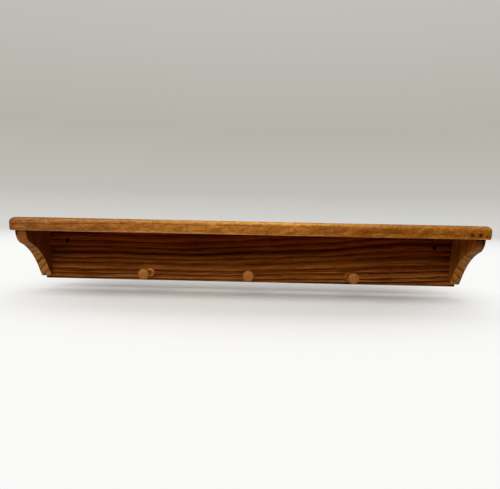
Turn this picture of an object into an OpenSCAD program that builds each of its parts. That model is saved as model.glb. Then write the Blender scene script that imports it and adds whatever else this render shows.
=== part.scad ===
// Wall plate rack: a shelf board on two S-curve brackets, with a back board and three turned pegs.
// Millimetres, +Z up. The wall is the plane y = 0 and the rack stands out towards -Y.
// The origin is on the wall, midway between the two wall screws.

/* [Shelf board] */
// Length of the shelf board, end to end
shelf_length = 914.4; // [600:0.1:1500]
// Depth of the shelf board, from the wall to its front edge
shelf_depth = 140; // [120:1:170]
// Thickness of the shelf board
shelf_thick = 25; // [18:0.5:32]
// Roundover radius on the top edge, at the front and both ends
edge_round = 9.5; // [2:0.5:10]
// Small easing radius on the lower edge
edge_ease = 2.5; // [0.5:0.5:3]
// How far the shelf board overhangs the brackets, at the front and both ends
overhang = 7; // [3:0.5:15]

/* [Plate groove] */
// Width of the groove that holds the rims of standing plates
groove_width = 10; // [6:0.5:14]
// Depth of the groove
groove_depth = 6; // [4.5:0.5:8]
// Distance from the wall to the middle of the groove
groove_from_wall = 40; // [30:1:60]
// Distance from each end of the shelf board to the groove's round end
groove_from_end = 38; // [20:1:80]

/* [Back board] */
// Thickness of the back board
back_thick = 19; // [16:0.5:23]
// Height of the back board below the shelf board
back_height = 104; // [90:1:140]

/* [Brackets] */
// Thickness of each bracket
bracket_thick = 21; // [16.5:0.5:25]
// Height of each bracket below the shelf board
bracket_height = 98.5; // [82:0.5:120]
// Height of the flat nose under the shelf board
nose_flat = 1; // [0.5:0.5:6]
// Radius of the upper, outward curve
nose_radius = 25; // [20:1:30]
// Distance from the wall to the point where the toe would end if it were sharp
toe_depth = 28; // [24:1:40]
// Slope of the toe's straight front, from vertical, in degrees
toe_slope = 34.5; // [25:0.5:42]
// Length of the toe's straight front, before its corner is rounded
toe_straight = 26; // [15:1:36]
// Radius of the toe's lower front corner
toe_round = 5; // [2:0.5:8]
// Width of the steep bevel on the bracket's lower inner edge
toe_bevel_width = 5; // [1:0.5:7]
// Height of that bevel
toe_bevel_height = 10.5; // [1:0.5:14]
// Wood left outside the rabbet that takes the end of the back board
rabbet_lip = 6; // [4:0.5:8]

/* [Pegs] */
// How far each peg stands out from the back board
peg_reach = 69; // [45:1:80]
// Height of the peg's axis above the lower edge of the back board
peg_rise = 16.5; // [14:0.5:40]
// Upward lean of the pegs, in degrees
peg_lean = 3; // [0:0.5:6]
// Diameter of the peg's head
head_d = 22; // [18:0.5:26]
// Thickness of the peg's head
head_thick = 9; // [6:0.5:12]
// Diameter of the neck at its thinnest
neck_d = 10.5; // [8:0.5:12]
// Diameter of the shoulder that seats on the back board
shoulder_d = 17; // [15:0.5:20]
// Thickness of the shoulder
shoulder_thick = 3.5; // [2.5:0.5:5]
// Diameter of the tenon
tenon_d = 12.7; // [9:0.1:15.3]
// Length of the tenon
tenon_length = 15; // [10:0.5:15]

/* [Wall screw holes] */
// Distance between the two wall screws
screw_spacing = 787; // [500:1:800]
// Distance from the underside of the shelf board down to the wall screws
screw_drop = 22.5; // [15:0.5:40]
// Diameter of the hole for the screw's shank
screw_hole_d = 4.5; // [4:0.5:6]
// Diameter of the counterbore for the screw's head
counterbore_d = 9.5; // [8:0.5:12]
// Depth of the counterbore
counterbore_depth = 5; // [4:0.5:10]

/* [Joinery] */
// Diameter of the dowel pins
dowel_d = 8; // [6:0.5:10]
// Length of the dowel pins
dowel_length = 32; // [24:1:40]
// Part of each dowel pin that is in the shelf board
dowel_up = 13; // [8:0.5:14]
// Distance from the middle of the rack to its inner pair of back dowel pins
dowel_inner = 130; // [60:1:180]
// Distance from the middle of the rack to its outer pair of back dowel pins
dowel_outer = 330; // [200:1:370]
// Shank diameter of the bracket screws
fastener_d = 4; // [3.5:0.1:5]
// Head diameter of the bracket screws
fastener_head_d = 8; // [7:0.1:9.5]
// Length of the bracket screws
fastener_length = 38; // [30:1:40]
// Distance from the shelf board down to the upper bracket screws
fastener_upper = 30; // [20:1:36]
// Distance from the shelf board down to the lower bracket screws
fastener_lower = 74; // [60:1:78]
// Clearance all round a glued pin and past its end
glue_gap = 0.05; // [0.02:0.01:0.1]

/* [Hidden] */
// Steps in an arc of a quarter turn
ARC_STEPS = 24;
// Steps in the sweep of a peg's neck
NECK_STEPS = 20;
// Steps in an arc on a small edge
EDGE_STEPS = 6;
// Length by which a cut runs past the face that it opens
PAST = 1;
// Depth of the free space past the end of a pin or tenon
END_ROOM = 0.5;
// Chamfer on the ends of pins and tenons
PIN_CHAMFER = 1;
// Depth of the cross slot in a screw's head
SLOT_DEPTH = 1.6;
// Width of the cross slot in a screw's head
SLOT_WIDTH = 1.1;
// Radius on the edges of a peg's shoulder and head
TURNED_EDGE = 1.6;
// Step between the shoulder's rounded edge and the root of the neck
ROOT_STEP = 0.6;
// Length of the cone from the neck to the back of the head
THROAT_CONE = 2;
// Height of the dome on the face of a peg's head
DOME = 1.4;

// Heights
under_z = screw_drop;
top_z = under_z + shelf_thick;
back_low_z = under_z - back_height;
peg_z = back_low_z + peg_rise;

// Depths
front_y = -shelf_depth;
nose_y = front_y + overhang;
back_face_y = -back_thick;

// Places along the length
bracket_outer_x = shelf_length / 2 - overhang;
bracket_inner_x = bracket_outer_x - bracket_thick;
back_end_x = bracket_outer_x - rabbet_lip;
rabbet_depth = bracket_thick - rabbet_lip;
peg_spacing = bracket_inner_x / 2;
fastener_x = bracket_inner_x + rabbet_depth / 2;
bracket_dowel_x = bracket_outer_x - bracket_thick / 2;
front_dowel_y = nose_y + (shelf_depth - overhang) / 4;
rear_dowel_y = back_face_y - (shelf_depth - overhang) / 5;

// The S-curve: the upper arc, the lower arc and the straight toe meet on common tangents.
// The lower arc's radius and the slope where the arcs meet follow from the corners they join.
curve_y = shelf_depth - overhang - toe_depth;
curve_z = bracket_height - nose_flat;
arcs_y = curve_y - nose_radius - toe_straight * sin(toe_slope);
arcs_z = curve_z - toe_straight * cos(toe_slope);
cove_radius = (arcs_y * arcs_y + arcs_z * arcs_z - nose_radius * nose_radius)
    / (2 * (arcs_y * cos(toe_slope) + nose_radius - arcs_z * sin(toe_slope)));
steep_slope = atan2(arcs_z + cove_radius * sin(toe_slope), cove_radius * cos(toe_slope) - arcs_y);

// The peg's shoulder leans with the peg, so it is drawn out by the lift of its lower edge.
shoulder_lift = shoulder_d / 2 * sin(peg_lean);
throat_d = neck_d * 1.3;

SHELF_OAK = [0.66, 0.43, 0.20];
BACK_OAK = [0.36, 0.18, 0.08];
BRACKET_OAK = [0.55, 0.36, 0.19];
PEG_WOOD = [0.78, 0.58, 0.36];
DOWEL_WOOD = [0.86, 0.74, 0.56];
SCREW_STEEL = [0.72, 0.70, 0.62];

// Points along an arc of radius r about centre c, from angle a to angle b
function arc(c, r, a, b, n = ARC_STEPS) =
    [for (i = [0:n]) c + r * [cos(a + (b - a) * i / n), sin(a + (b - a) * i / n)]];

// Section of a board lying flat: depth w, thickness t, upper corners rounded by r, lower ones by e.
// x runs from 0 to w and y from 0 to t; a corner with no rounding stays square.
function board_section(w, t, r_left, r_right, e_left, e_right) = concat(
    corner([0, 0], [1, 1], e_left, 270, 180),
    corner([0, t], [1, -1], r_left, 180, 90),
    corner([w, t], [-1, -1], r_right, 90, 0),
    corner([w, 0], [-1, 1], e_right, 0, -90));

// A square corner at p, or an arc of radius r whose centre lies in direction d from it
function corner(p, d, r, a, b) = r > 0 ? arc(p + r * d, r, a, b, EDGE_STEPS + 2) : [p];

// Outline of a bracket from its side: x is the depth behind the nose, y is the drop below the shelf,
// both positive. The rear edge is the wall.
function bracket_outline() =
    let (
        nose_c = [nose_radius, nose_flat],
        meet = nose_c + nose_radius * [-cos(steep_slope), sin(steep_slope)],
        cove_c = meet - cove_radius * [cos(steep_slope), -sin(steep_slope)],
        toe = [curve_y, bracket_height],
        cut = toe_round * tan((90 - toe_slope) / 2),
        toe_c = [toe[0] + cut, bracket_height - toe_round]
    )
    concat(
        [[0, 0]],
        arc(nose_c, nose_radius, 180, 180 - steep_slope),
        arc(cove_c, cove_radius, -steep_slope, -toe_slope),
        arc(toe_c, toe_round, 180 - toe_slope, 90, EDGE_STEPS),
        [[shelf_depth - overhang, bracket_height], [shelf_depth - overhang, 0]]);

// Puts the children where a peg's axis leaves the face of the back board, at x, with their +Z
// pointing out of the board along the peg.
module at_peg(x) {
    translate([x, back_face_y, peg_z]) rotate([90 - peg_lean, 0, 0]) children();
}

// A round pin along +Z from z = 0, chamfered at both ends
module pin(d, length) {
    rotate_extrude()
        polygon([[0, 0], [d / 2 - PIN_CHAMFER, 0], [d / 2, PIN_CHAMFER],
            [d / 2, length - PIN_CHAMFER], [d / 2 - PIN_CHAMFER, length], [0, length]]);
}

// Bore for a dowel pin that crosses the shelf board's underside at x, y
module dowel_bore(x, y) {
    translate([x, y, under_z - (dowel_length - dowel_up) - END_ROOM])
        cylinder(d = dowel_d + 2 * glue_gap, h = dowel_length + 2 * END_ROOM);
}

module dowel(x, y) {
    color(DOWEL_WOOD)
        translate([x, y, under_z - (dowel_length - dowel_up)])
            pin(dowel_d, dowel_length);
}

// Shape of a bracket screw along +Z: countersunk head at z = 0, point at z = fastener_length
module screw_shape(extra) {
    head_h = (fastener_head_d - fastener_d) / 2;
    rotate_extrude()
        polygon([[0, 0], [fastener_head_d / 2 + extra, 0], [fastener_head_d / 2 + extra, extra],
            [fastener_d / 2 + extra, head_h + extra],
            [fastener_d / 2 + extra, fastener_length - fastener_d + extra],
            [0, fastener_length + extra]]);
}

// Places the children at the rear face of the back board, with local +Z pointing to the front
module at_fastener(side, drop) {
    translate([side * fastener_x, 0, under_z - drop]) rotate([90, 0, 0]) children();
}

module fastener(side, drop) {
    color(SCREW_STEEL)
        at_fastener(side, drop)
            translate([0, 0, glue_gap])
                difference() {
                    screw_shape(0);
                    for (turn = [0, 90])
                        rotate([0, 0, turn])
                            translate([-fastener_d / 2, -SLOT_WIDTH / 2, -PAST])
                                cube([fastener_d, SLOT_WIDTH, SLOT_DEPTH + PAST]);
                }
}

// Cuts for the four bracket screws in whatever they pass through
module fastener_bores(sides) {
    for (side = sides, drop = [fastener_upper, fastener_lower])
        at_fastener(side, drop) {
            screw_shape(glue_gap);
            translate([0, 0, -PAST])
                cylinder(d = fastener_head_d + 2 * glue_gap, h = PAST + glue_gap);
        }
}

module back_dowel_bores() {
    for (x = [-dowel_outer, -dowel_inner, dowel_inner, dowel_outer])
        dowel_bore(x, back_face_y / 2);
}

module bracket_dowel_bores(sides) {
    for (side = sides, y = [front_dowel_y, rear_dowel_y])
        dowel_bore(side * bracket_dowel_x, y);
}

// Groove for standing plates, with round ends
module plate_groove() {
    end_x = shelf_length / 2 - groove_from_end - groove_width / 2;
    translate([0, -groove_from_wall, top_z - groove_depth]) {
        translate([-end_x, -groove_width / 2, 0])
            cube([2 * end_x, groove_width, groove_depth + PAST]);
        for (side = [-1, 1])
            translate([side * end_x, 0, 0])
                cylinder(d = groove_width, h = groove_depth + PAST);
    }
}

module shelf_board() {
    color(SHELF_OAK)
        difference() {
            intersection() {
                translate([-shelf_length / 2, front_y, under_z])
                    rotate([90, 0, 90])
                        linear_extrude(shelf_length)
                            polygon(board_section(shelf_depth, shelf_thick, edge_round, 0,
                                edge_ease, 0));
                translate([-shelf_length / 2, 0, under_z])
                    rotate([90, 0, 0])
                        linear_extrude(shelf_depth)
                            polygon(board_section(shelf_length, shelf_thick, edge_round, edge_round,
                                edge_ease, edge_ease));
            }
            plate_groove();
            back_dowel_bores();
            bracket_dowel_bores([-1, 1]);
        }
}

module back_board() {
    color(BACK_OAK)
        difference() {
            translate([-back_end_x, back_face_y, back_low_z])
                cube([2 * back_end_x, back_thick, back_height]);
            for (side = [-1, 1])
                translate([side * screw_spacing / 2, 0, 0])
                    rotate([90, 0, 0]) {
                        translate([0, 0, -PAST])
                            cylinder(d = screw_hole_d, h = back_thick + 2 * PAST);
                        translate([0, 0, back_thick - counterbore_depth])
                            cylinder(d = counterbore_d, h = counterbore_depth + PAST);
                    }
            for (x = [-peg_spacing, 0, peg_spacing])
                at_peg(x)
                    translate([0, 0, -tenon_length - END_ROOM])
                        cylinder(d = tenon_d + 2 * glue_gap, h = tenon_length + END_ROOM + PAST);
            back_dowel_bores();
            fastener_bores([-1, 1]);
        }
}

// The right bracket. Its mirror image is the left one.
module bracket() {
    color(BRACKET_OAK)
        difference() {
            translate([bracket_inner_x, nose_y, under_z])
                rotate([90, 0, 90])
                    linear_extrude(bracket_thick)
                        mirror([0, 1])
                            polygon(bracket_outline());
            // Rabbet for the end of the back board
            translate([bracket_inner_x - PAST, back_face_y, back_low_z - PAST])
                cube([rabbet_depth + PAST, back_thick + PAST, back_height + 2 * PAST]);
            // Bevel along the lower inner edge
            translate([bracket_inner_x, 0, under_z - bracket_height])
                rotate([90, 0, 0])
                    linear_extrude(shelf_depth)
                        polygon([
                            [-PAST, -PAST],
                            [toe_bevel_width + PAST * toe_bevel_width / toe_bevel_height, -PAST],
                            [-PAST, toe_bevel_height + PAST * toe_bevel_height / toe_bevel_width]
                        ]);
            bracket_dowel_bores([1]);
            fastener_bores([1]);
        }
}

module left_bracket() { mirror([1, 0, 0]) bracket(); }
module right_bracket() { bracket(); }

// Half section of a peg: x is the radius, y the distance out from the back board
function peg_section() =
    let (
        head_y = peg_reach - head_thick,
        shoulder_r = shoulder_d / 2 - TURNED_EDGE,
        root_r = shoulder_r - ROOT_STEP,
        rim_r = head_d / 2 - TURNED_EDGE
    )
    concat(
        [[0, -tenon_length], [tenon_d / 2 - PIN_CHAMFER, -tenon_length],
            [tenon_d / 2, PIN_CHAMFER - tenon_length], [tenon_d / 2, 0], [shoulder_d / 2, 0]],
        arc([shoulder_r, shoulder_thick - TURNED_EDGE], TURNED_EDGE, 0, 90, EDGE_STEPS),
        [for (i = [1:NECK_STEPS]) let (s = i / NECK_STEPS) [
            neck_d / 2 + (root_r - neck_d / 2) * pow(1 - s, 4) + (throat_d - neck_d) / 2 * pow(s, 3),
            shoulder_thick + (head_y - THROAT_CONE - shoulder_thick) * s]],
        arc([rim_r, head_y + TURNED_EDGE], TURNED_EDGE, -90, 0, EDGE_STEPS),
        arc([rim_r, peg_reach - DOME - TURNED_EDGE], TURNED_EDGE, 0, 75, EDGE_STEPS),
        [[head_d / 4, peg_reach - DOME / 4], [0, peg_reach]]);

module peg(x) {
    color(PEG_WOOD)
        at_peg(x)
            translate([0, 0, shoulder_lift])
                rotate_extrude()
                    polygon(peg_section());
}

module peg_left() { peg(-peg_spacing); }
module peg_centre() { peg(0); }
module peg_right() { peg(peg_spacing); }

shelf_board();
back_board();
left_bracket();
right_bracket();
peg_left();
peg_centre();
peg_right();
dowel(-dowel_outer, back_face_y / 2);  // back_dowel_1
dowel(-dowel_inner, back_face_y / 2);  // back_dowel_2
dowel(dowel_inner, back_face_y / 2);  // back_dowel_3
dowel(dowel_outer, back_face_y / 2);  // back_dowel_4
dowel(-bracket_dowel_x, front_dowel_y);  // left_dowel_front
dowel(-bracket_dowel_x, rear_dowel_y);  // left_dowel_rear
dowel(bracket_dowel_x, front_dowel_y);  // right_dowel_front
dowel(bracket_dowel_x, rear_dowel_y);  // right_dowel_rear
fastener(-1, fastener_upper);  // left_screw_upper
fastener(-1, fastener_lower);  // left_screw_lower
fastener(1, fastener_upper);  // right_screw_upper
fastener(1, fastener_lower);  // right_screw_lower
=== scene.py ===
"""Looks of a wall plate rack: oak boards with a plate groove, S-curve brackets and three turned pegs.

Everything is in metres in the rack's own frame: the wall is y = 0, the room is towards -Y, +Z is up.
The boards, the brackets and the pegs are remade here with eased edges, bores and fine wear, and each
stays inside its own node's box. Their finishes also paint light and shade: the shelf's shadow on the back
board and the brackets, shade in the screw holes, light on the pegs and highlights on some edges.
"""

import math

import bmesh
import bpy
from mathutils import Matrix, Vector


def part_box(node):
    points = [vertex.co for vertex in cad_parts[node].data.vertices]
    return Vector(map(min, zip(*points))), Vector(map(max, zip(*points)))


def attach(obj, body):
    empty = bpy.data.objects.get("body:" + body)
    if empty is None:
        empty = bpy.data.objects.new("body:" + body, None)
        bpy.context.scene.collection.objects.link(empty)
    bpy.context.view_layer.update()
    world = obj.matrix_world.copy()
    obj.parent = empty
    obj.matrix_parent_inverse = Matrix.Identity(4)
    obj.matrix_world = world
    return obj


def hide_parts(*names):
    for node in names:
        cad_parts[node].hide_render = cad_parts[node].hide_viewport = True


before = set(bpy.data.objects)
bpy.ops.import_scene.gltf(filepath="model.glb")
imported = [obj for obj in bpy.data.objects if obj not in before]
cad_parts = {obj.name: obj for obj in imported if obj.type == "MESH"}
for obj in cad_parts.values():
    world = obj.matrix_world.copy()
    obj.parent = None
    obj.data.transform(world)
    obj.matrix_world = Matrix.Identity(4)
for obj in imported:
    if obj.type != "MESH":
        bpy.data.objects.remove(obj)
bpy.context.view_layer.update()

MM = 0.001

# ---------------------------------------------------------------- sizes, as the construction has them
EDGE_ROUND = 9.5 * MM  # roundover on the shelf board's top edge
EDGE_EASE = 2.5 * MM  # easing on its lower edge
GROOVE_WIDTH, GROOVE_DEPTH = 10 * MM, 6 * MM
GROOVE_FROM_WALL, GROOVE_FROM_END = 40 * MM, 38 * MM
SCREW_SPACING = 787 * MM
SCREW_HOLE_D, COUNTERBORE_D, COUNTERBORE_DEPTH = 4.5 * MM, 9.5 * MM, 5 * MM
NOSE_FLAT, NOSE_RADIUS = 1 * MM, 25 * MM
TOE_DEPTH, TOE_STRAIGHT, TOE_ROUND = 28 * MM, 26 * MM, 5 * MM
TOE_SLOPE = math.radians(34.5)
BEVEL_WIDTH, BEVEL_HEIGHT = 5 * MM, 10.5 * MM  # on the brackets' lower inner edge
PEG_REACH, PEG_RISE, PEG_LEAN = 69 * MM, 16.5 * MM, math.radians(3)
HEAD_D, HEAD_THICK, HEAD_DOME = 22 * MM, 9 * MM, 1.4 * MM
NECK_D, SHOULDER_D, SHOULDER_THICK = 10.5 * MM, 17 * MM, 3.5 * MM
TENON_D, TENON_LENGTH, TENON_CHAMFER = 12.7 * MM, 15 * MM, 1 * MM
TURNED_EDGE, ROOT_STEP, THROAT_CONE = 1.6 * MM, 0.6 * MM, 2 * MM
THROAT_FLARE = 0.3  # how much a peg's neck widens towards its head, as a share of its radius
SHANK_R, SHANK_TIP_R = 2 * MM, 0.2 * MM  # of the bracket screws
END_ROOM, GLUE_GAP = 0.5 * MM, 0.05 * MM

# Small roundings that only the finished wood has
HAND_EASE = 0.8 * MM  # sanded edges of the brackets and the back board
REAR_EASE = 0.5 * MM  # edges at the wall
RIM_EASE = 0.5 * MM  # rims of the groove and the counterbores
GROOVE_FILLET = 1.2 * MM  # at the bottom of the groove
SHELF_CORNER, BACK_CORNER = 0.9 * MM, 0.4 * MM  # corners of the two boards' outlines
PEG_END_FLAT, PEG_TIP_FLAT = 0.5 * MM, 0.3 * MM  # radii of the flats that close a peg's two ends

# How the shapes are drawn
PAST = 1 * MM  # how far a cutter runs past the face that it opens
RIM_TURN = math.radians(75)  # how far a rim or a turned edge rounds over before it meets the face
SHARP_ANGLE = math.radians(35)  # edges sharper than this stay hard
ARC_STEPS, RIM_STEPS, CORNER_STEPS = 10, 5, 4
GROOVE_END_STEPS, NOSE_STEPS, COVE_STEPS, TOE_STEPS = 24, 24, 32, 8
PEG_SIDES, HOLE_SIDES, PIN_SIDES = 96, 48, 32
NECK_STEPS, DOME_STEPS = 40, 10
LONG_STEPS, SHELF_END_STEPS, BACK_END_STEPS = 240, 36, 30

PEGS = ("peg_left", "peg_centre", "peg_right")
shelf_low, shelf_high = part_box("shelf_board")
back_low, back_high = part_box("back_board")
bracket_low, bracket_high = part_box("right_bracket")
back_face_y = back_low.y


# ---------------------------------------------------------------- outlines and rings
def arc(centre, radius, start, end, steps=ARC_STEPS):
    """Points along an arc in a plane, from one angle to another in radians."""
    angles = [start + (end - start) * i / steps for i in range(steps + 1)]
    return [(centre[0] + radius * math.cos(a), centre[1] + radius * math.sin(a)) for a in angles]


def round_in(depth, radius):
    """How far a rounded edge lies inside the side, at a depth below the face that it rounds into."""
    if depth >= radius:
        return 0.0
    return radius - math.sqrt(max(radius * radius - (radius - depth) ** 2, 0.0))


def ring_levels(low, high, low_round, high_round, between):
    """Levels of the rings from one face of a board to the other, closer together at the round edges."""
    turns = [math.cos(math.pi / 2 * i / ARC_STEPS) for i in range(ARC_STEPS + 1)]
    lower = [low + low_round * (1 - c) for c in turns]
    upper = [high - high_round * (1 - c) for c in reversed(turns)]
    gap = upper[0] - lower[-1]
    middle = [lower[-1] + gap * i / (between + 1) for i in range(1, between + 1)]
    return lower + middle + upper


def rounded_rectangle(x0, x1, y0, y1, corner, short_steps):
    """Outline of a long rectangle with small round corners and evenly spaced points along its sides."""
    quarter = math.pi / 2
    centres = [(x0 + corner, y0 + corner), (x1 - corner, y0 + corner),
               (x1 - corner, y1 - corner), (x0 + corner, y1 - corner)]
    outline = []
    for i, centre in enumerate(centres):
        outline += arc(centre, corner, math.pi + quarter * i, math.pi + quarter * (i + 1), CORNER_STEPS)
        after = centres[(i + 1) % 4]
        start = Vector(outline[-1])
        end = start + Vector(after) - Vector(centre)
        steps = LONG_STEPS if i % 2 == 0 else short_steps
        outline += [tuple(start.lerp(end, k / steps)) for k in range(1, steps)]
    return outline


def rim_flare():
    """How an eased rim opens on its way out: (widening, height) from its foot to just short of the face."""
    angles = [RIM_TURN * i / RIM_STEPS for i in range(RIM_STEPS + 1)]
    return [(RIM_EASE * (1 - math.cos(a)), -RIM_EASE * (1 - math.sin(a))) for a in angles]


# ---------------------------------------------------------------- meshes and objects
def skin(rings):
    """A closed mesh through rings of equally many points, with a flat face over each end."""
    mesh = bmesh.new()
    rows = [[mesh.verts.new(point) for point in ring] for ring in rings]
    count = len(rows[0])
    for lower, upper in zip(rows, rows[1:]):
        for i in range(count):
            j = (i + 1) % count
            mesh.faces.new((lower[i], lower[j], upper[j], upper[i]))
    mesh.faces.new(list(reversed(rows[0])))
    mesh.faces.new(rows[-1])
    bmesh.ops.recalc_face_normals(mesh, faces=mesh.faces)
    return mesh


def turned(profile, sides):
    """A closed mesh turned about +Z from (radius, height) points, with its ends closed."""
    rings = []
    for radius, height in profile:
        around = [2 * math.pi * i / sides for i in range(sides)]
        rings.append([(radius * math.cos(a), radius * math.sin(a), height) for a in around])
    return skin(rings)


def block(low, high):
    """A box between two corners."""
    mesh = bmesh.new()
    bmesh.ops.create_cube(mesh, size=1)
    middle = [(a + b) / 2 for a, b in zip(low, high)]
    size = Matrix.Diagonal([b - a for a, b in zip(low, high)] + [1])
    mesh.transform(Matrix.Translation(middle) @ size)
    return mesh


def to_object(mesh, name):
    """Turns a bmesh into an object in the scene."""
    data = bpy.data.meshes.new(name)
    mesh.to_mesh(data)
    mesh.free()
    item = bpy.data.objects.new(name, data)
    bpy.context.scene.collection.objects.link(item)
    return item


def keep_shape(item):
    """Applies an object's modifiers to its mesh."""
    bpy.context.view_layer.update()
    graph = bpy.context.evaluated_depsgraph_get()
    shaped = bpy.data.meshes.new_from_object(item.evaluated_get(graph), depsgraph=graph)
    item.modifiers.clear()
    old = item.data
    item.data = shaped
    shaped.name = item.name
    bpy.data.meshes.remove(old)


def cut_away(item, meshes):
    """Cuts each of the meshes out of an object."""
    cutters = [to_object(mesh, "cutter") for mesh in meshes]
    for cutter in cutters:
        cut = item.modifiers.new("cut", "BOOLEAN")
        cut.operation = "DIFFERENCE"
        cut.solver = "EXACT"
        cut.object = cutter
    keep_shape(item)
    for cutter in cutters:
        data = cutter.data
        bpy.data.objects.remove(cutter)
        bpy.data.meshes.remove(data)


def shade(item):
    """Smooth shading with flat faces kept flat and hard edges kept hard."""
    for face in item.data.polygons:
        face.use_smooth = True
    item.data.set_sharp_from_angle(angle=SHARP_ANGLE)
    flat = item.modifiers.new("flat", "WEIGHTED_NORMAL")
    flat.keep_sharp = True
    keep_shape(item)


def finish_piece(item, node, material):
    """Shades a piece, gives it its finish and makes it stand for its CAD node."""
    shade(item)
    item.data.materials.clear()
    item.data.materials.append(material)
    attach(item, "root")
    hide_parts(node)


# ---------------------------------------------------------------- cutters
def named(text):
    """The nodes whose names hold a text."""
    return [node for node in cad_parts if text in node]


def hole_cutter(radius, depth, place, turn, eased=False):
    """A round cutter: its mouth is at place, it runs to -Z there before the turn, and its rim may flare."""
    profile = [(radius, -depth)]
    profile += [(radius + out, height) for out, height in (rim_flare() if eased else [(0.0, 0.0)])]
    profile.append((profile[-1][0], PAST))
    mesh = turned(profile, HOLE_SIDES)
    mesh.transform(Matrix.Translation(place) @ turn)
    return mesh


def groove_cutter():
    """The plate groove with round ends, a softened bottom and eased rims."""
    end_x = shelf_high.x - GROOVE_FROM_END - GROOVE_WIDTH / 2
    half = GROOVE_WIDTH / 2
    turns = [math.pi / 2 * i / CORNER_STEPS for i in range(CORNER_STEPS + 1)]
    sections = [(-GROOVE_FILLET * (1 - math.sin(a)), -GROOVE_DEPTH + GROOVE_FILLET * (1 - math.cos(a)))
                for a in turns]
    sections += rim_flare()
    sections.append((sections[-1][0], PAST))
    rings = []
    for offset, height in sections:
        outline = []
        for side in (1, -1):
            start = -side * math.pi / 2
            outline += arc((side * end_x, -GROOVE_FROM_WALL), half + offset, start, start + math.pi,
                           GROOVE_END_STEPS)
        rings.append([(x, y, shelf_high.z + height) for x, y in outline])
    return skin(rings)


def pin_bore(node):
    """A cutter for the round pin that a node is, standing upright, with clearance and room past its ends."""
    low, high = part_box(node)
    radius = (high.x - low.x) / 2 + GLUE_GAP
    half = (high.z - low.z) / 2 + END_ROOM
    mesh = turned([(radius, -half), (radius, half)], PIN_SIDES)
    mesh.transform(Matrix.Translation((low + high) / 2))
    return mesh


def screw_bore(node):
    """A cutter for a countersunk bracket screw, which points from the wall to the room."""
    low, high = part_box(node)
    head = (high.x - low.x) / 2 + GLUE_GAP
    shank = SHANK_R + GLUE_GAP
    length = high.y - low.y + 2 * GLUE_GAP
    sink = head - shank
    profile = [(head, -PAST), (head, GLUE_GAP), (shank, sink + GLUE_GAP), (shank, length - 2 * shank),
               (SHANK_TIP_R, length)]
    mesh = turned(profile, PIN_SIDES)
    place = Matrix.Translation(((low.x + high.x) / 2, 0, (low.z + high.z) / 2))
    mesh.transform(place @ Matrix.Rotation(math.pi / 2, 4, "X"))
    return mesh


def bevel_cutter(side):
    """A wedge that takes the bevel off the lower inner edge of the bracket on that side."""
    steep = BEVEL_HEIGHT / BEVEL_WIDTH
    corner = [(bracket_low.x - PAST, bracket_low.z - PAST),
              (bracket_low.x + BEVEL_WIDTH + PAST / steep, bracket_low.z - PAST),
              (bracket_low.x - PAST, bracket_low.z + BEVEL_HEIGHT + PAST * steep)]
    return skin([[(side * x, y, z) for x, z in corner] for y in (bracket_low.y - PAST, PAST)])


# ---------------------------------------------------------------- pieces
def make_shelf_board(material):
    """The shelf board: roundover on top at the front and ends, eased below, with the plate groove."""
    rings = []
    for z in ring_levels(shelf_low.z, shelf_high.z, EDGE_EASE, EDGE_ROUND, between=3):
        side = max(round_in(z - shelf_low.z, EDGE_EASE), round_in(shelf_high.z - z, EDGE_ROUND))
        rear = max(round_in(z - shelf_low.z, REAR_EASE), round_in(shelf_high.z - z, REAR_EASE))
        outline = rounded_rectangle(shelf_low.x + side, shelf_high.x - side, shelf_low.y + side,
                                    shelf_high.y - rear, SHELF_CORNER, SHELF_END_STEPS)
        rings.append([(x, y, z) for x, y in outline])
    board = to_object(skin(rings), "shelf_board_finished")
    cut_away(board, [groove_cutter()] + [pin_bore(node) for node in named("dowel")])
    finish_piece(board, "shelf_board", material)


def make_back_board(material):
    """The back board, with its counterbored wall-screw holes and the bores for pegs, dowels and screws."""
    rings = []
    for y in ring_levels(back_low.y, back_high.y, HAND_EASE, REAR_EASE, between=1):
        inset = max(round_in(y - back_low.y, HAND_EASE), round_in(back_high.y - y, REAR_EASE))
        outline = rounded_rectangle(back_low.x + inset, back_high.x - inset, back_low.z + inset,
                                    back_high.z - inset, BACK_CORNER, BACK_END_STEPS)
        rings.append([(x, y, z) for x, z in outline])
    board = to_object(skin(rings), "back_board_finished")
    to_wall = Matrix.Rotation(math.pi / 2, 4, "X")
    cutters = []
    for side in (-1, 1):
        place = Vector((side * SCREW_SPACING / 2, back_low.y, 0))
        cutters.append(hole_cutter(COUNTERBORE_D / 2, COUNTERBORE_DEPTH, place, to_wall, eased=True))
        cutters.append(hole_cutter(SCREW_HOLE_D / 2, back_high.y - back_low.y + PAST, place, to_wall))
    for peg in PEGS:
        mouth = peg_frame(peg)
        turn = mouth.to_3x3().to_4x4()
        cutters.append(hole_cutter(TENON_D / 2 + GLUE_GAP, TENON_LENGTH + END_ROOM, mouth.translation, turn))
    cutters += [pin_bore(node) for node in named("back_dowel")]
    cutters += [screw_bore(node) for node in named("screw")]
    cut_away(board, cutters)
    finish_piece(board, "back_board", material)


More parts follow.
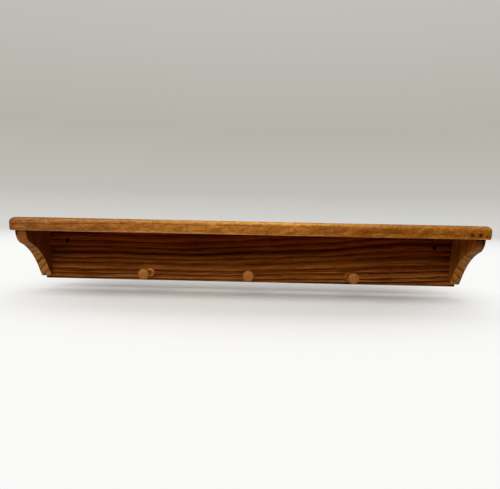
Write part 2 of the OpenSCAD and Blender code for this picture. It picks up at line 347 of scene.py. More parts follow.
def bracket_outline():
    """Side outline of a bracket as (y, z): an S-curve front, a straight toe, then the wall and the top."""
    depth, height = bracket_high.y - bracket_low.y, bracket_high.z - bracket_low.z
    sin, cos = math.sin(TOE_SLOPE), math.cos(TOE_SLOPE)
    curve_y = depth - TOE_DEPTH
    across = curve_y - NOSE_RADIUS - TOE_STRAIGHT * sin
    down = height - NOSE_FLAT - TOE_STRAIGHT * cos
    cove = (across**2 + down**2 - NOSE_RADIUS**2) / (2 * (across * cos + NOSE_RADIUS - down * sin))
    steep = math.atan2(down + cove * sin, cove * cos - across)
    nose_centre = (NOSE_RADIUS, NOSE_FLAT)
    meet = (NOSE_RADIUS - NOSE_RADIUS * math.cos(steep), NOSE_FLAT + NOSE_RADIUS * math.sin(steep))
    cove_centre = (meet[0] - cove * math.cos(steep), meet[1] + cove * math.sin(steep))
    toe_centre = (curve_y + TOE_ROUND * math.tan((math.pi / 2 - TOE_SLOPE) / 2), height - TOE_ROUND)
    outline = [(0, 0)]
    outline += arc(nose_centre, NOSE_RADIUS, math.pi, math.pi - steep, NOSE_STEPS)
    outline += arc(cove_centre, cove, -steep, -TOE_SLOPE, COVE_STEPS)[1:]
    outline += arc(toe_centre, TOE_ROUND, math.pi - TOE_SLOPE, math.pi / 2, TOE_STEPS)
    outline += [(depth, height), (depth, 0)]
    return [(bracket_low.y + y, bracket_high.z - z) for y, z in outline]


def inset_outline(outline, amount):
    """The outline moved inwards by an amount, with its corners kept."""
    later = outline[1:] + outline[:1]
    earlier = outline[-1:] + outline[:-1]
    area = sum(a[0] * b[1] - b[0] * a[1] for a, b in zip(outline, later))
    inward = 1 if area > 0 else -1
    moved = []
    for before, here, after in zip(earlier, outline, later):
        sides = [Vector((b[0] - a[0], b[1] - a[1])).normalized() for a, b in ((before, here), (here, after))]
        normals = [Vector((-side.y, side.x)) * inward for side in sides]
        turn = (normals[0] + normals[1]) / (1 + normals[0].dot(normals[1]))
        moved.append((here[0] + turn.x * amount, here[1] + turn.y * amount))
    return moved


def make_bracket(side, material):
    """One bracket: side is 1 for the right one and -1 for its mirror image."""
    hand = "right" if side > 0 else "left"
    outline = bracket_outline()
    rings = []
    for x in ring_levels(bracket_low.x, bracket_high.x, HAND_EASE, HAND_EASE, between=1):
        inset = max(round_in(x - bracket_low.x, HAND_EASE), round_in(bracket_high.x - x, HAND_EASE))
        rings.append([(side * x, y, z) for y, z in inset_outline(outline, inset)])
    piece = to_object(skin(rings), hand + "_bracket_finished")
    inner, outer = sorted((side * (bracket_low.x - PAST), side * back_high.x))
    rabbet = block((inner, back_face_y, back_low.z - PAST), (outer, PAST, back_high.z + PAST))
    cutters = [rabbet, bevel_cutter(side)]
    cutters += [pin_bore(node) for node in named(hand + "_dowel")]
    cutters += [screw_bore(node) for node in named(hand + "_screw")]
    cut_away(piece, cutters)
    finish_piece(piece, hand + "_bracket", material)


def peg_frame(name):
    """Where a peg's axis leaves the face of the back board: +Z there points out along the peg."""
    x = sum(corner.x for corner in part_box(name)) / 2
    place = Matrix.Translation((x, back_face_y, back_low.z + PEG_RISE))
    return place @ Matrix.Rotation(math.pi / 2 - PEG_LEAN, 4, "X")


def peg_profile():
    """Half section of a peg: (radius, distance out from the back board)."""
    head_y = PEG_REACH - HEAD_THICK
    shoulder_r = SHOULDER_D / 2 - TURNED_EDGE
    root_r = shoulder_r - ROOT_STEP
    rim_r = HEAD_D / 2 - TURNED_EDGE
    throat = THROAT_FLARE * NECK_D / 2
    profile = [(PEG_END_FLAT, -TENON_LENGTH), (TENON_D / 2 - TENON_CHAMFER, -TENON_LENGTH),
               (TENON_D / 2, TENON_CHAMFER - TENON_LENGTH), (TENON_D / 2, 0), (SHOULDER_D / 2, 0)]
    profile += arc((shoulder_r, SHOULDER_THICK - TURNED_EDGE), TURNED_EDGE, 0, math.pi / 2)
    run = head_y - THROAT_CONE - SHOULDER_THICK
    for i in range(1, NECK_STEPS + 1):
        s = i / NECK_STEPS
        radius = NECK_D / 2 + (root_r - NECK_D / 2) * (1 - s) ** 4 + throat * s**3
        profile.append((radius, SHOULDER_THICK + run * s))
    profile += arc((rim_r, head_y + TURNED_EDGE), TURNED_EDGE, -math.pi / 2, 0)
    profile += arc((rim_r, PEG_REACH - HEAD_DOME - TURNED_EDGE), TURNED_EDGE, 0, RIM_TURN)
    edge_r, edge_y = profile[-1]
    for i in range(1, DOME_STEPS + 1):
        s = i / DOME_STEPS
        radius = edge_r * (1 - s) + PEG_TIP_FLAT * s
        profile.append((radius, edge_y + (PEG_REACH - edge_y) * math.sin(math.pi / 2 * s)))
    return profile


def make_peg(name, material):
    """One turned peg on its leaning axis, with its shoulder seated on the back board."""
    mesh = turned(peg_profile(), PEG_SIDES)
    mesh.transform(peg_frame(name) @ Matrix.Translation((0, 0, SHOULDER_D / 2 * math.sin(PEG_LEAN))))
    finish_piece(to_object(mesh, name + "_finished"), name, material)


# ---------------------------------------------------------------- shader helpers
def add(tree, kind, inputs=(), **settings):
    """Adds a node with settings, and sets or links its inputs by name or number."""
    node = tree.nodes.new(kind)
    for key, value in settings.items():
        setattr(node, key, value)
    for key, value in dict(inputs).items():
        if isinstance(value, bpy.types.NodeSocket):
            tree.links.new(value, node.inputs[key])
        else:
            node.inputs[key].default_value = value
    return node


def coordinates(tree, kind="Object"):
    """Coordinates to lay a texture by: places in metres, or the directions that the surface faces."""
    return add(tree, "ShaderNodeTexCoord").outputs[kind]


def split(tree, vector):
    """The X, Y and Z of a vector."""
    return add(tree, "ShaderNodeSeparateXYZ", {0: vector}).outputs


def calc(tree, operation, *values, clamp=False):
    """The output of a math node."""
    node = add(tree, "ShaderNodeMath", enumerate(values), operation=operation, use_clamp=clamp)
    return node.outputs[0]


def summed(tree, start, parts):
    """A start value plus each part times its share."""
    total = start
    for value, share in parts:
        total = calc(tree, "ADD", total, calc(tree, "MULTIPLY", value, share))
    return total


def vector_calc(tree, operation, *values, output=0):
    """An output of a vector math node. The second one is a plain number, such as a length."""
    return add(tree, "ShaderNodeVectorMath", enumerate(values), operation=operation).outputs[output]


def spread(tree, value, from_low, from_high, to_low=0.0, to_high=1.0, how="SMOOTHSTEP"):
    """A value carried from one range to another and held past it, gently at both ends unless LINEAR."""
    inputs = {"Value": value, "From Min": from_low, "From Max": from_high,
              "To Min": to_low, "To Max": to_high}
    return add(tree, "ShaderNodeMapRange", inputs, interpolation_type=how).outputs[0]


def ramp(tree, value, stops):
    """A colour ramp through (place, colour) stops. A plain number as a colour is a grey."""
    node = add(tree, "ShaderNodeValToRGB", {0: value})
    points = node.color_ramp.elements
    while len(points) < len(stops):
        points.new(1)
    for point, (place, colour) in zip(points, stops):
        point.position = place
        point.color = (colour,) * 3 + (1,) if isinstance(colour, (int, float)) else (*colour, 1)
    return node.outputs[0]


def blend_colours(tree, factor, first, second, how="MIX"):
    """The second colour laid over the first."""
    node = add(tree, "ShaderNodeMix", data_type="RGBA", blend_type=how, clamp_factor=True)
    for index, value in ((0, factor), (6, first), (7, second)):
        if isinstance(value, bpy.types.NodeSocket):
            tree.links.new(value, node.inputs[index])
        else:
            node.inputs[index].default_value = (*value, 1) if isinstance(value, tuple) else value
    return node.outputs[2]


def plain_noise(tree, vector, scale, detail):
    """Noise that is alike in all directions, as a number."""
    inputs = {"Vector": vector, "Scale": scale, "Detail": detail}
    return add(tree, "ShaderNodeTexNoise", inputs).outputs["Fac"]


def grained_noise(tree, grain, along, across, detail=2.0, roughness=0.5, output="Fac", shift=0.0):
    """Noise with features that long and that wide, in metres. Another shift gives another such pattern."""
    scaled = vector_calc(tree, "MULTIPLY", grain, (1 / along, 1 / across, 1 / across))
    if shift:
        scaled = vector_calc(tree, "ADD", scaled, (shift, shift, shift))
    inputs = {"Vector": scaled, "Scale": 1.0, "Detail": detail, "Roughness": roughness}
    return add(tree, "ShaderNodeTexNoise", inputs).outputs[output]


def facing_sideways(tree, start=0.95, full=0.99):
    """1 on faces that look along X, such as a bracket's flat sides, and 0 on those that look elsewhere."""
    across = split(tree, coordinates(tree, "Normal"))[0]
    return spread(tree, calc(tree, "ABSOLUTE", across), start, full)


def new_material(name):
    """A material with its node tree and its shader."""
    material = bpy.data.materials.new(name)
    material.use_nodes = True
    return material, material.node_tree, material.node_tree.nodes["Principled BSDF"]


# ---------------------------------------------------------------- what every wood here has
RING_DRIFT, DRIFT_RATE = 1.2, 0.45  # how unevenly wide the growth rings are, and how soon that changes
LONG_WAVE = (220 * MM, 60 * MM, 1.0)  # length, width and detail of the bends in the grain
SHORT_RIPPLE = (26 * MM, 9 * MM, 2.0)
SLOW_PATCH = (300 * MM, 70 * MM)  # length and width of the broadest changes of tone
SLOW_SHARE = 0.5
PORE_SIZE = (9 * MM, 0.5 * MM)
PORE_LEVEL, PORE_CROWDING = 0.6, 0.14  # fewer pores at a higher level, and how many more the early wood has
PORE_SHARE = 0.5  # how far the pores go towards the dark tone
FINE_START = 0.37  # keeps the fine rings from starting where the main ones do
KNOT_AND_HOLE_SHADE_TONE = (0.012, 0.004, 0.002)  # knots, and painted shade in the wall-screw holes
SHEEN_TINT = (1.0, 0.66, 0.35, 1)


def grain_space(tree, place, heart, turn):
    """Coordinates with X along the grain and the heart of the tree as the axis y = z = 0."""
    inputs = {"Vector": place, "Location": heart, "Rotation": turn}
    return add(tree, "ShaderNodeMapping", inputs, vector_type="TEXTURE").outputs[0]


def bowed(tree, grain, wave, ripple):
    """The grain's coordinates with long waves and short ripples in them, as real fibres have."""
    bent = grain
    for (along, across, detail), amount in ((LONG_WAVE, wave), (SHORT_RIPPLE, ripple)):
        push = grained_noise(tree, grain, along, across, detail, output="Color")
        push = vector_calc(tree, "SUBTRACT", push, (0.5, 0.5, 0.5))
        push = vector_calc(tree, "MULTIPLY", push, (0.0, 2 * amount, 2 * amount))
        bent = vector_calc(tree, "ADD", bent, push)
    return bent


def ring_count(tree, bent, pitch):
    """How many growth rings lie between the heart and a point. The rings are unevenly wide."""
    across = vector_calc(tree, "MULTIPLY", bent, (0.0, 1.0, 1.0))
    rings = calc(tree, "DIVIDE", vector_calc(tree, "LENGTH", across, output=1), pitch)
    drift = add(tree, "ShaderNodeTexNoise", {"W": rings, "Scale": DRIFT_RATE, "Detail": 1.0},
                noise_dimensions="1D")
    return calc(tree, "ADD", rings, calc(tree, "MULTIPLY", drift.outputs["Fac"], RING_DRIFT))


def ring_years(tree, rings, least):
    """How far a point lies into its year's ring, from 0 to 1, and how strong that year's lines are."""
    year = add(tree, "ShaderNodeTexWhiteNoise", {"W": calc(tree, "FLOOR", rings)}, noise_dimensions="1D")
    return calc(tree, "FRACT", rings), spread(tree, year.outputs["Value"], 0.0, 1.0, least, 1.0)


def early_wood(tree, rings, least, width):
    """The dark porous start of each ring, over that share of its width, weaker in some years."""
    part, strength = ring_years(tree, rings, least)
    dark = ramp(tree, part, [(0.0, 0.5), (0.04, 1.0), (0.35 * width, 0.9), (0.7 * width, 0.3),
                             (width, 0.0), (0.95, 0.0), (1.0, 0.5)])
    return calc(tree, "MULTIPLY", dark, strength)


def late_wood(tree, rings, least):
    """The smooth light end of each ring, weaker in some years."""
    part, strength = ring_years(tree, rings, least)
    light = ramp(tree, part, [(0.0, 0.2), (0.3, 0.15), (0.6, 0.5), (0.82, 1.0), (0.93, 0.8), (1.0, 0.2)])
    return calc(tree, "MULTIPLY", light, strength)


def pore_mask(tree, grain, early):
    """1 in the pores, which are closest together in the early wood."""
    pores = grained_noise(tree, grain, *PORE_SIZE, 1.0, shift=1.3)
    least = calc(tree, "SUBTRACT", PORE_LEVEL, calc(tree, "MULTIPLY", early, PORE_CROWDING))
    return spread(tree, calc(tree, "SUBTRACT", pores, least), 0.0, 0.1)


def edge_mask(tree, curved_sides):
    """1 on rounded edges and 0 on flat faces. On a piece with a curved front only its long edges count."""
    # The last factor brings the middle of an edge, at 45 degrees, to 1
    x, y, z = split(tree, vector_calc(tree, "ABSOLUTE", coordinates(tree, "Normal")))
    if curved_sides:
        square = calc(tree, "MULTIPLY", x, x)
        slanted = calc(tree, "MULTIPLY", square, calc(tree, "SUBTRACT", 1.0, square))
        return calc(tree, "MULTIPLY", slanted, 4.0)
    most = calc(tree, "MAXIMUM", calc(tree, "MAXIMUM", x, y), z)
    return calc(tree, "MULTIPLY", calc(tree, "SUBTRACT", 1.0, most), 3.4, clamp=True)


def wood(name, heart, turn, pitch, tones, tint_and_painted_light, early_share, late_share, specular, bend=None,
         wave=4 * MM, ripple=2 * MM, early_width=0.5, fine=3.0, fine_share=0.0,
         fibre=(60 * MM, 1.3 * MM), fibre_share=0.5, blotch=(60 * MM, 4 * MM), blotch_share=0.7,
         figure=None, marks=None, wear=0.3, worn_and_lit_colour=None, curved_sides=False, side_lines=1.0, roughness=0.5):
    """Varnished solid wood.

    Growth rings of that pitch lie about the heart, and tones are the wood's dark, middle and light ones.
    Each share says how much a feature changes the tone: early and late wood, fine rings between the main
    ones, fibres and blotches. Fibres and blotches have a length and a width, and wave and ripple are how
    far the grain strays. side_lines is how strong the rings are on faces that look along X, and wear is how
    far the edges are lightened to the worn colour, which stands for rubbing and, on the shelf board, partly
    for a painted highlight. bend, figure, the tint and marks are functions of the place: they bend the
    grain, change the tone, tint the colour and mark dark spots. The tint paints light and shade on most
    pieces here, and the marks are knots or painted shade inside holes.
    """
    material, tree, shader = new_material(name)
    place = coordinates(tree)
    grain = grain_space(tree, bend(tree, place) if bend else place, heart, turn)
    rings = ring_count(tree, bowed(tree, grain, wave, ripple), pitch)
    early = early_wood(tree, rings, 0.5, early_width)
    late = late_wood(tree, rings, 0.5)
    lines = [(early, -early_share)]
    if fine_share:
        fine_rings = calc(tree, "ADD", calc(tree, "MULTIPLY", rings, fine), FINE_START)
        lines.append((early_wood(tree, fine_rings, 0.0, 0.5), -fine_share))
    if side_lines != 1.0:
        strength = spread(tree, facing_sideways(tree), 0.0, 1.0, 1.0, side_lines)
        lines = [(calc(tree, "MULTIPLY", line, strength), share) for line, share in lines]
        early = lines[0][0]
    lines.append((late, late_share))

    strands = grained_noise(tree, grain, *fibre, 2.0, 0.6)
    patch = grained_noise(tree, grain, *blotch, 3.0, 0.6, shift=3.7)
    slow = grained_noise(tree, grain, *SLOW_PATCH, 1.0, shift=8.1)
    fields = [(strands, fibre_share), (patch, blotch_share), (slow, SLOW_SHARE)]
    if figure:
        fields += figure(tree, place)
    fields = [(calc(tree, "SUBTRACT", field, 0.5), share) for field, share in fields]
    tone = summed(tree, 0.5, lines + fields)
    pore = pore_mask(tree, grain, early)

    dark, middle, light = tones
    colour = ramp(tree, tone, [(0.05, dark), (0.5, middle), (0.95, light)])
    colour = blend_colours(tree, calc(tree, "MULTIPLY", pore, PORE_SHARE), colour, dark)
    # Rounded edges are lightened towards the worn colour: rubbing, and on the shelf board partly a painted
    # highlight
    if wear:
        uneven = spread(tree, patch, 0.35, 0.65, 0.3, 1.0)
        rubbed_and_lit = calc(tree, "MULTIPLY", edge_mask(tree, curved_sides), uneven)
        colour = blend_colours(tree, calc(tree, "MULTIPLY", rubbed_and_lit, wear), colour, worn_and_lit_colour or light)
    # The tint: on the shelf board a real tint and a painted highlight, on the back board painted shade, on
    # the brackets and pegs painted light and shade
    colour = blend_colours(tree, 1.0, colour, tint_and_painted_light(tree, place), "MULTIPLY")
    dull = spread(tree, tone, 0.2, 0.8, roughness + 0.08, roughness - 0.06)
    dull = summed(tree, dull, [(pore, 0.25)])
    # Dark spots: real knots on the shelf board, painted shade inside the back board's screw holes
    if marks:
        marked = marks(tree, place)
        colour = blend_colours(tree, marked, colour, KNOT_AND_HOLE_SHADE_TONE)
        dull = calc(tree, "MAXIMUM", dull, marked)
    tree.links.new(colour, shader.inputs["Base Color"])
    tree.links.new(dull, shader.inputs["Roughness"])
    shader.inputs["Specular IOR Level"].default_value = specular
    shader.inputs["Specular Tint"].default_value = SHEEN_TINT

    height = summed(tree, 0.0, [(late, 0.2), (strands, 0.3), (early, -0.15), (pore, -0.7)])
    bump = add(tree, "ShaderNodeBump", {"Strength": 0.5, "Distance": 0.25 * MM, "Height": height})
    tree.links.new(bump.outputs[0], shader.inputs["Normal"])
    return material


# ---------------------------------------------------------------- shelf board
# Pin knots in the front edge, near its right end: place along the rack, height, radius and strength
KNOTS = ((421 * MM, 30.5 * MM, 5.2 * MM, 0.8),
         (436.5 * MM, 30.5 * MM, 6.0 * MM, 0.9),
         (448 * MM, 28 * MM, 3.4 * MM, 0.55))
FLECK_ANGLE, FLECK_LENGTH, FLECK_WIDTH, FLECK_SHARE = math.radians(13), 42 * MM, 8 * MM, 0.75


def along_shelf(tree, place):
    """0 at the shelf board's left end and 1 at its right end."""
    return spread(tree, split(tree, place)[0], shelf_low.x, shelf_high.x, how="LINEAR")


def shelf_figure(tree, place):
    """Slanting flecks all over the shelf board, and a slow change of its tone from end to end."""
    turn = {"Vector": place, "Rotation": (0, -FLECK_ANGLE, FLECK_ANGLE)}
    slant = add(tree, "ShaderNodeMapping", turn, vector_type="TEXTURE").outputs[0]
    flecks = grained_noise(tree, slant, FLECK_LENGTH, FLECK_WIDTH, 1.0, shift=2.9)
    ends = ramp(tree, along_shelf(tree, place),
                [(0.0, 0.34), (0.12, 0.46), (0.35, 0.68), (0.6, 0.60), (0.8, 0.4), (1.0, 0.36)])
    return [(flecks, FLECK_SHARE), (ends, 1.0)]


def shelf_tint_and_highlight(tree, place):
    """The shelf board's top edge is painted lighter right of the middle, as a highlight, and darker towards
    both ends; its front is pinker at the left.
    """
    run = along_shelf(tree, place)
    # painted highlight along the top edge, strongest right of the middle
    upper = ramp(tree, run, [(0.0, (0.78, 0.68, 0.38)), (0.2, (0.78, 0.68, 0.35)), (0.38, (1.1, 1.06, 0.75)),
                             (0.62, (1.55, 1.55, 1.15)), (0.8, (0.8, 0.66, 0.3)), (1.0, (0.82, 0.7, 0.34))])
    lower = ramp(tree, run, [(0.0, (0.84, 0.84, 2.4)), (0.25, (0.94, 0.94, 2.1)), (0.4, (0.92, 0.88, 1.4)),
                             (0.7, (0.88, 0.8, 1.15)), (1.0, (0.9, 0.84, 0.8))])
    _, y, z = split(tree, place)
    below = spread(tree, z, shelf_high.z - 9 * MM, shelf_high.z - 1 * MM, 1.0, 0.0)
    front = spread(tree, y, shelf_low.y + EDGE_ROUND, shelf_low.y + 30 * MM, 1.0, 0.0)
    upper = blend_colours(tree, front, (1.05, 1.02, 1.0), upper)
    return blend_colours(tree, below, upper, lower)


def shelf_knots(tree, place):
    """1 on the pin knots in the shelf board's front edge, with ragged rims."""
    warp = add(tree, "ShaderNodeTexNoise", {"Vector": place, "Scale": 300.0, "Detail": 1.0}).outputs["Color"]
    warp = vector_calc(tree, "SUBTRACT", warp, (0.5, 0.5, 0.5))
    near = vector_calc(tree, "ADD", place, vector_calc(tree, "MULTIPLY", warp, (4 * MM,) * 3))
    whole = 0.0
    for x, z, radius, strength in KNOTS:
        from_knot = vector_calc(tree, "SUBTRACT", near, (x, shelf_low.y, z))
        away = vector_calc(tree, "LENGTH", from_knot, output=1)
        whole = calc(tree, "MAXIMUM", whole, spread(tree, away, 0.3 * radius, radius, strength, 0.0))
    return whole


def shelf_wood():
    """Golden oak for the shelf board, cut near the heart, so its grain is short and flecked."""
    # wear and the light worn colour lighten the rounded top edge and the lower edge: rubbing, and partly a
    # painted highlight
    return wood("shelf_oak", heart=(0, -60 * MM, -38 * MM), turn=(0, math.radians(-1.2), math.radians(0.6)),
                pitch=6 * MM, tones=((0.115, 0.032, 0.001), (0.26, 0.086, 0.005), (0.49, 0.21, 0.020)),
                early_share=0.2, late_share=0.15, fibre=(22 * MM, 1.7 * MM), fibre_share=0.7,
                blotch=(6 * MM, 2.2 * MM), blotch_share=1.1, figure=shelf_figure, tint_and_painted_light=shelf_tint_and_highlight,
                marks=shelf_knots, wear=0.8, worn_and_lit_colour=(0.7, 0.36, 0.1), specular=0.18)


# ---------------------------------------------------------------- back board
def rising_grain(tree, place):
    """The back board's lines climb towards its right end, most of all at its top edge."""
    x, _, z = split(tree, place)
    lift = spread(tree, x, -150 * MM, 400 * MM, 0.0, 34 * MM)
    share = spread(tree, z, back_low.z, back_high.z, 0.35, 1.0, how="LINEAR")
    down = add(tree, "ShaderNodeCombineXYZ", {2: calc(tree, "MULTIPLY", lift, share)}).outputs[0]
    return vector_calc(tree, "SUBTRACT", place, down)


def back_painted_shade(tree, place):
    """Painted shade: the back board is darker and redder towards its top edge, where the shelf's shadow
    falls, darkest in the corner under the shelf, and a little lighter near its bottom edge.
    """
    rise = spread(tree, split(tree, place)[2], back_low.z, back_high.z, how="LINEAR")
    return ramp(tree, rise, [(0.0, (1.06, 1.06, 1.15)), (0.2, (1.03, 0.98, 0.9)), (0.5, (0.82, 0.58, 0.25)),
                             (0.75, (1.04, 0.52, 0.12)), (0.9, (0.98, 0.42, 0.1)), (1.0, (0.7, 0.17, 0.05))])


def bore_painted_shade(tree, place):
    """Close to 1 inside the two wall-screw holes, whose bare wood is painted dark as the shade in the
    recess.
    """
    x, y, z = split(tree, place)
    from_axis = calc(tree, "SUBTRACT", calc(tree, "ABSOLUTE", x), SCREW_SPACING / 2)
    flat = add(tree, "ShaderNodeCombineXYZ", {0: from_axis, 1: z}).outputs[0]
    away = vector_calc(tree, "LENGTH", flat, output=1)
    near = spread(tree, away, COUNTERBORE_D / 2 + RIM_EASE, COUNTERBORE_D / 2 + 1.5 * MM, 1.0, 0.0)
    inside = spread(tree, y, back_face_y + 0.2 * MM, back_face_y + 1.2 * MM)
    return calc(tree, "MULTIPLY", calc(tree, "MULTIPLY", near, inside), 0.97)


def back_wood():
    """Dark oak for the back board, with strong, nearly straight lines along it."""
    return wood("back_oak", heart=(0, 130 * MM, 122 * MM), turn=(0, 0, 0), pitch=8.5 * MM,
                tones=((0.030, 0.0048, 0.0002), (0.132, 0.036, 0.0036), (0.29, 0.11, 0.022)),
                bend=rising_grain, ripple=1.2 * MM, early_width=0.35, early_share=0.6, late_share=0.35,
                fine=2.0, fine_share=0.4, fibre=(80 * MM, 1.6 * MM), fibre_share=1.5,
                # the tint paints the shelf's shadow on the board's upper part; the marks paint shade inside
                # the screw holes
                blotch=(20 * MM, 3 * MM), blotch_share=0.3, tint_and_painted_light=back_painted_shade, marks=bore_painted_shade,
                specular=0.06)


# ---------------------------------------------------------------- brackets
# painted highlight on the lit lower bevel of each bracket's inner edge
BEVEL_PAINTED_HIGHLIGHT = (2.6, 2.4, 2.4)


def bracket_painted_light(front, sides, nose):
    """A bracket's painted light and shade: its front edge is lighter, the top of its front curve darker
    where the shelf's shadow falls, its lower bevel lighter as a highlight, and its flat sides darker and
    redder on the left bracket, which faces away from the light, and redder on the right one.
    """
    def tint(tree, place):
        height = split(tree, place)[2]
        # painted shadow of the shelf over the top of the front curve
        top = spread(tree, height, bracket_high.z - 30 * MM, bracket_high.z - 6 * MM)
        bevel_top = bracket_low.z + BEVEL_HEIGHT
        low = spread(tree, height, bevel_top - 1 * MM, bevel_top, 1.0, 0.0)
        # painted highlight on the lower bevel
        bevel = calc(tree, "MULTIPLY", low, facing_sideways(tree, 0.8, 0.88))
        front_painted_light = blend_colours(tree, bevel, blend_colours(tree, top, front, nose), BEVEL_PAINTED_HIGHLIGHT)
        # flat sides: painted shade, set for each bracket as the light falls on it
        return blend_colours(tree, facing_sideways(tree), front_painted_light, sides)
    return tint


def bracket_wood(side, lines, side_lines, front, sides, nose):
    """A bracket's oak, with upright grain: side is 1 for the right bracket and -1 for the left one."""
    name = ("right" if side > 0 else "left") + "_bracket_oak"
    return wood(name, heart=(side * 320 * MM, 159 * MM, 0), turn=(0, math.radians(-90), 0), pitch=10 * MM,
                tones=((0.08, 0.025, 0.003), (0.32, 0.122, 0.022), (0.46, 0.20, 0.045)), wave=2 * MM,
                ripple=0.5 * MM, early_width=0.25, early_share=lines, late_share=0.15, fine_share=0.35,
                fibre_share=0.9, curved_sides=True, side_lines=side_lines, specular=0.05,
                tint_and_painted_light=bracket_painted_light(front, sides, nose))


# ---------------------------------------------------------------- pegs
def peg_painted_light(tree, place):
    """Painted light: the pegs are lighter close to the back board, over their necks and shoulders, the left
    one most of all.
    """
    x, y, _ = split(tree, place)
    near = spread(tree, y, back_face_y - 36 * MM, back_face_y - SHOULDER_THICK)
    share = spread(tree, x, -100 * MM, 100 * MM, 1.0, 0.1)
    return blend_colours(tree, calc(tree, "MULTIPLY", near, share), (1.0, 1.0, 1.0), (2.6, 2.6, 2.6))


def peg_wood():
    """Pale turned wood for the pegs, with the grain along them and a satin sheen."""
    return wood("peg_wood", heart=(0, 0, -90 * MM), turn=(0, 0, math.radians(90)), pitch=3 * MM,
                tones=((0.17, 0.046, 0.004), (0.28, 0.090, 0.013), (0.42, 0.17, 0.035)), ripple=0.6 * MM,
                early_share=0.25, late_share=0.2, blotch=(20 * MM, 3 * MM), blotch_share=1.0,
                # the tint paints light on the pegs' necks and shoulders
                tint_and_painted_light=peg_painted_light, wear=0, specular=0.35, roughness=0.38)


# ---------------------------------------------------------------- pins and screws
def pin_wood():
    """Beech for the dowel pins: pale, close-grained, with short darker flecks."""
    material, tree, shader = new_material("dowel_wood")
    upright = vector_calc(tree, "MULTIPLY", coordinates(tree), (1.0, 1.0, 0.12))
    strands = plain_noise(tree, upright, 900.0, 2.0)
    flecks = plain_noise(tree, upright, 2600.0, 1.0)
    colour = ramp(tree, strands, [(0.3, (0.44, 0.27, 0.13)), (0.7, (0.62, 0.43, 0.25))])
    colour = blend_colours(tree, spread(tree, flecks, 0.58, 0.68, 0.0, 0.5), colour, (0.30, 0.16, 0.07))
    tree.links.new(colour, shader.inputs["Base Color"])
    tree.links.new(spread(tree, strands, 0.3, 0.7, 0.68, 0.56), shader.inputs["Roughness"])
    bump = add(tree, "ShaderNodeBump", {"Strength": 0.4, "Distance": 0.1 * MM, "Height": strands})
    tree.links.new(bump.outputs[0], shader.inputs["Normal"])
    return material


def zinc_steel():
    """Zinc-plated steel for the bracket screws, with fine turning marks and dull patches."""
    material, tree, shader = new_material("screw_steel")
    place = coordinates(tree)
    turns = plain_noise(tree, vector_calc(tree, "MULTIPLY", place, (1.0, 14.0, 1.0)), 500.0, 2.0)
    dull = plain_noise(tree, place, 350.0, 3.0)
    colour = ramp(tree, dull, [(0.35, (0.50, 0.47, 0.36)), (0.65, (0.66, 0.64, 0.56))])
    tree.links.new(colour, shader.inputs["Base Color"])
    shader.inputs["Metallic"].default_value = 1.0
    rough = summed(tree, spread(tree, dull, 0.35, 0.65, 0.42, 0.28), [(turns, 0.08)])
    tree.links.new(rough, shader.inputs["Roughness"])
    bump = add(tree, "ShaderNodeBump", {"Strength": 0.3, "Distance": 0.05 * MM, "Height": turns})
    tree.links.new(bump.outputs[0], shader.inputs["Normal"])
    return material


# ---------------------------------------------------------------- stage, light and camera
FLOOR_Z, FLOOR_RADIUS = -104 * MM, 12
FLOOR_COLOUR = (0.86, 0.855, 0.84, 1)
FLOOR_BOUNCE = (0.62, 0.6, 0.57, 1)  # what the floor throws back at the rack
FAR_FLOOR_COLOUR = (0.95, 0.95, 0.94)
SHADOW_NEAR, SHADOW_FAR = 0.3, 0.62  # the rack's shadow fades out between these distances from the origin
HAZE_NEAR, HAZE_FAR = 1.5, 7.0  # the floor takes on the horizon's colour between these
HORIZON_COLOUR = (0.66, 0.655, 0.63)
# Colours of the background by the sine of the height above the horizon
SKY_TONES = ((-0.005, HORIZON_COLOUR), (0.05, (0.53, 0.52, 0.475)), (0.16, (0.465, 0.455, 0.405)),
             (0.36, (0.53, 0.53, 0.49)))
WORLD_LIGHT, WORLD_TINT = 0.07, (1.0, 0.93, 0.84, 1)
CAMERA_PLACE = Vector((0.0270, -1.1059, 0.0502))
CAMERA_PITCH, CAMERA_YAW, CAMERA_ROLL = math.radians(-12.94), math.radians(-1.17), math.radians(1.15)
FOCAL_PIXELS, FRAME_WIDTH, FRAME_HEIGHT = 500, 500, 489
PRINCIPAL_ROW = 335  # row of the picture that the camera's axis meets
SENSOR_WIDTH = 36  # millimetres


def make_camera():
    """The camera at the photograph's place and angle."""
    data = bpy.data.cameras.new("camera")
    data.sensor_fit = "HORIZONTAL"
    data.sensor_width = SENSOR_WIDTH
    data.lens = SENSOR_WIDTH * FOCAL_PIXELS / FRAME_WIDTH
    data.shift_y = (PRINCIPAL_ROW - FRAME_HEIGHT / 2) / FRAME_WIDTH
    data.clip_start, data.clip_end = 0.01, 50
    camera = bpy.data.objects.new("camera", data)
    bpy.context.scene.collection.objects.link(camera)
    bpy.context.scene.camera = camera
    pitch, yaw, roll = CAMERA_PITCH, CAMERA_YAW, CAMERA_ROLL
    ahead = Vector((math.sin(yaw) * math.cos(pitch), math.cos(yaw) * math.cos(pitch), math.sin(pitch)))
    level = Vector((math.cos(yaw), -math.sin(yaw), 0))
    upright = level.cross(ahead)
    right = math.cos(roll) * level + math.sin(roll) * upright
    up = -math.sin(roll) * level + math.cos(roll) * upright
    turn = Matrix((right, up, -ahead)).transposed().to_4x4()
    camera.matrix_world = Matrix.Translation(CAMERA_PLACE) @ turn


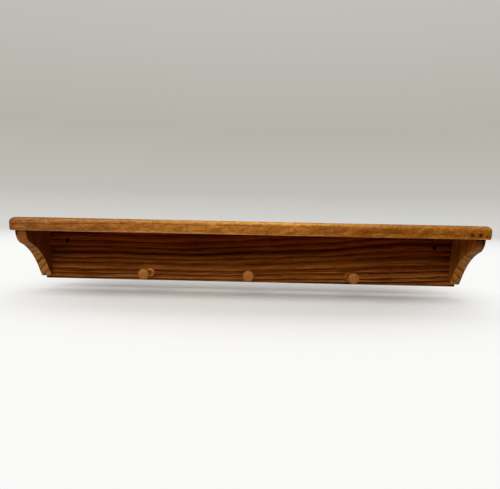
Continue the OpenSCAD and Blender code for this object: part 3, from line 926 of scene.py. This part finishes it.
def make_area_light(name, place, target, size, power, colour=(1, 1, 1)):
    """A soft rectangular lamp that points at a target. The camera doesn't see the lamp itself."""
    data = bpy.data.lights.new(name, "AREA")
    data.shape = "RECTANGLE"
    data.size, data.size_y = size
    data.energy = power
    data.color = colour
    lamp = bpy.data.objects.new(name, data)
    bpy.context.scene.collection.objects.link(lamp)
    lamp.location = place
    lamp.visible_camera = False
    lamp.rotation_mode = "QUATERNION"
    lamp.rotation_quaternion = (Vector(target) - Vector(place)).to_track_quat("-Z", "Y")


def seen_rays(tree):
    """1 for rays that show a surface or the background as it is: camera, mirror and glass rays."""
    path = add(tree, "ShaderNodeLightPath").outputs
    most = calc(tree, "MAXIMUM", path["Is Camera Ray"], path["Is Glossy Ray"])
    return calc(tree, "MAXIMUM", most, path["Is Transmission Ray"])


def floor_material():
    """Pale floor that holds the rack's shadow close by and fades to the horizon. It is clear from below."""
    material, tree, shader = new_material("floor_pale")
    tree.nodes.remove(shader)
    bounce = add(tree, "ShaderNodeBsdfDiffuse", {"Color": FLOOR_BOUNCE}).outputs[0]
    near = add(tree, "ShaderNodeBsdfDiffuse", {"Color": FLOOR_COLOUR}).outputs[0]
    away = vector_calc(tree, "LENGTH", coordinates(tree), output=1)
    pale = blend_colours(tree, spread(tree, away, HAZE_NEAR, HAZE_FAR), FAR_FLOOR_COLOUR, HORIZON_COLOUR)
    far = add(tree, "ShaderNodeEmission", {"Color": pale}).outputs[0]
    fade = spread(tree, away, SHADOW_NEAR, SHADOW_FAR)
    shown = add(tree, "ShaderNodeMixShader", {0: fade, 1: near, 2: far}).outputs[0]
    front = add(tree, "ShaderNodeMixShader", {0: seen_rays(tree), 1: bounce, 2: shown}).outputs[0]
    clear = add(tree, "ShaderNodeBsdfTransparent").outputs[0]
    behind = add(tree, "ShaderNodeNewGeometry").outputs["Backfacing"]
    both = add(tree, "ShaderNodeMixShader", {0: behind, 1: front, 2: clear}).outputs[0]
    tree.links.new(both, tree.nodes["Material Output"].inputs[0])
    return material


def make_stage():
    """A plain pale floor below the rack."""
    disc = bmesh.new()
    bmesh.ops.create_circle(disc, cap_ends=True, segments=128, radius=FLOOR_RADIUS)
    disc.transform(Matrix.Translation((0, 0, FLOOR_Z)))
    item = to_object(disc, "floor")
    item.data.materials.append(floor_material())


def make_world():
    """Soft light from all round, and a pale grey background that is lighter towards the floor."""
    world = bpy.data.worlds.new("world")
    bpy.context.scene.world = world
    world.use_nodes = True
    tree = world.node_tree
    light = tree.nodes["Background"]
    light.inputs["Color"].default_value = WORLD_TINT
    light.inputs["Strength"].default_value = WORLD_LIGHT
    height = split(tree, coordinates(tree, "Generated"))[2]
    sky = ramp(tree, calc(tree, "ADD", height, 0.5), [(0.5 + level, colour) for level, colour in SKY_TONES])
    seen = add(tree, "ShaderNodeBackground", {"Color": sky}).outputs[0]
    mixed = add(tree, "ShaderNodeMixShader", {0: seen_rays(tree), 1: light.outputs[0], 2: seen}).outputs[0]
    tree.links.new(mixed, tree.nodes["World Output"].inputs[0])


# ---------------------------------------------------------------- the scene
make_camera()
make_stage()
make_world()
make_area_light("key", place=(-0.45, -2.3, 1.1), target=(0, -0.05, -0.02), size=(2.2, 0.6), power=42,
                colour=(1.0, 0.97, 0.93))
make_area_light("above", place=(-0.2, -0.9, 1.8), target=(0, -0.05, 0), size=(2.6, 1.8), power=26)
make_area_light("behind", place=(0.4, 2.2, 1.6), target=(0, 0, 0), size=(2.4, 1.6), power=36,
                colour=(1.0, 0.98, 0.95))

make_shelf_board(shelf_wood())
make_back_board(back_wood())
# The tints below are painted light and shade, set for each bracket as the light falls on it: lighter fronts,
# shaded tops of the front curves, and darker, redder flat sides
make_bracket(-1, bracket_wood(-1, lines=0.75, side_lines=0.35, front=(1.2, 1.22, 1.35),
                              sides=(0.5, 0.25, 0.083), nose=(0.55, 0.44, 0.32)))
make_bracket(1, bracket_wood(1, lines=0.45, side_lines=1.7, front=(1.04, 1.05, 1.15),
                             sides=(1.1, 0.79, 0.44), nose=(0.22, 0.13, 0.05)))
peg_finish = peg_wood()
for peg in PEGS:
    make_peg(peg, peg_finish)

pin_finish = pin_wood()
screw_finish = zinc_steel()
for name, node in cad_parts.items():
    if not node.hide_render:
        node.data.materials.clear()
        node.data.materials.append(screw_finish if "screw" in name else pin_finish)

bpy.context.scene.view_settings.view_transform = "Standard"
